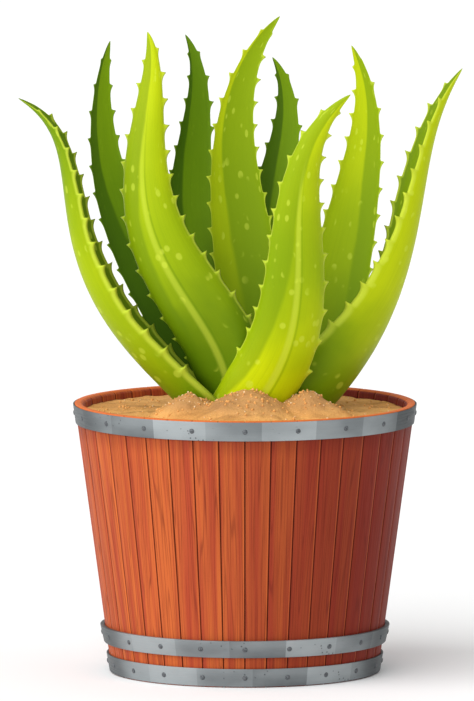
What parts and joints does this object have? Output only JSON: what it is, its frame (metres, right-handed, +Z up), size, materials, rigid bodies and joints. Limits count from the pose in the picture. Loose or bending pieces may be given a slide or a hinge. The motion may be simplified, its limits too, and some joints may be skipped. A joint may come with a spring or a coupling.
{
  "type": "potted aloe plant",
  "caption": "Aloe with thick toothed leaves rising from soil in a tapered wooden stave tub held by riveted metal hoops.",
  "frame": {"origin": "centre of the tub's foot, on the surface that it stands on", "axes": "+Z up, the front of the tub and its foremost leaf towards -Y, +X to the right seen from the front"},
  "size_m": [0.466, 0.3614, 0.684],
  "materials": {
    "stave_wood": "oiled red-brown boards with open grain, satin",
    "board_wood": "plain sawn boards, matt",
    "hoop_iron": "grey strap with small scratches and pits, satin",
    "soil": "dry sandy soil with pale granules, matt",
    "stem": "fibrous green-brown stem, matt",
    "leaf_bright": "smooth waxy lime green skin with pale flecks, satin",
    "leaf_dark": "smooth waxy deep green skin, satin"
  },
  "bodies": {
    "root": {"stave_01": "stave_wood", "stave_02": "stave_wood", "stave_03": "stave_wood", "stave_04": "stave_wood", "stave_05": "stave_wood", "stave_06": "stave_wood", "stave_07": "stave_wood", "stave_08": "stave_wood", "stave_09": "stave_wood", "stave_10": "stave_wood", "stave_11": "stave_wood", "stave_12": "stave_wood", "stave_13": "stave_wood", "stave_14": "stave_wood", "stave_15": "stave_wood", "stave_16": "stave_wood", "stave_17": "stave_wood", "stave_18": "stave_wood", "stave_19": "stave_wood", "stave_20": "stave_wood", "stave_21": "stave_wood", "stave_22": "stave_wood", "stave_23": "stave_wood", "stave_24": "stave_wood", "stave_25": "stave_wood", "stave_26": "stave_wood", "stave_27": "stave_wood", "stave_28": "stave_wood", "stave_29": "stave_wood", "stave_30": "stave_wood", "stave_31": "stave_wood", "stave_32": "stave_wood", "stave_33": "stave_wood", "stave_34": "stave_wood", "stave_35": "stave_wood", "stave_36": "stave_wood", "stave_37": "stave_wood", "stave_38": "stave_wood", "stave_39": "stave_wood", "stave_40": "stave_wood", "hoop_top": "hoop_iron", "hoop_middle": "hoop_iron", "hoop_bottom": "hoop_iron", "base_board_left": "board_wood", "base_board_middle": "board_wood", "base_board_right": "board_wood", "soil": "soil", "stem": "stem", "leaf_front": "leaf_bright", "leaf_front_left": "leaf_bright", "leaf_left": "leaf_bright", "leaf_right": "leaf_bright", "leaf_right_back": "leaf_bright", "leaf_centre": "leaf_bright", "leaf_back_left": "leaf_dark", "leaf_back": "leaf_dark", "leaf_back_right": "leaf_dark"}
  },
  "joints": []
}
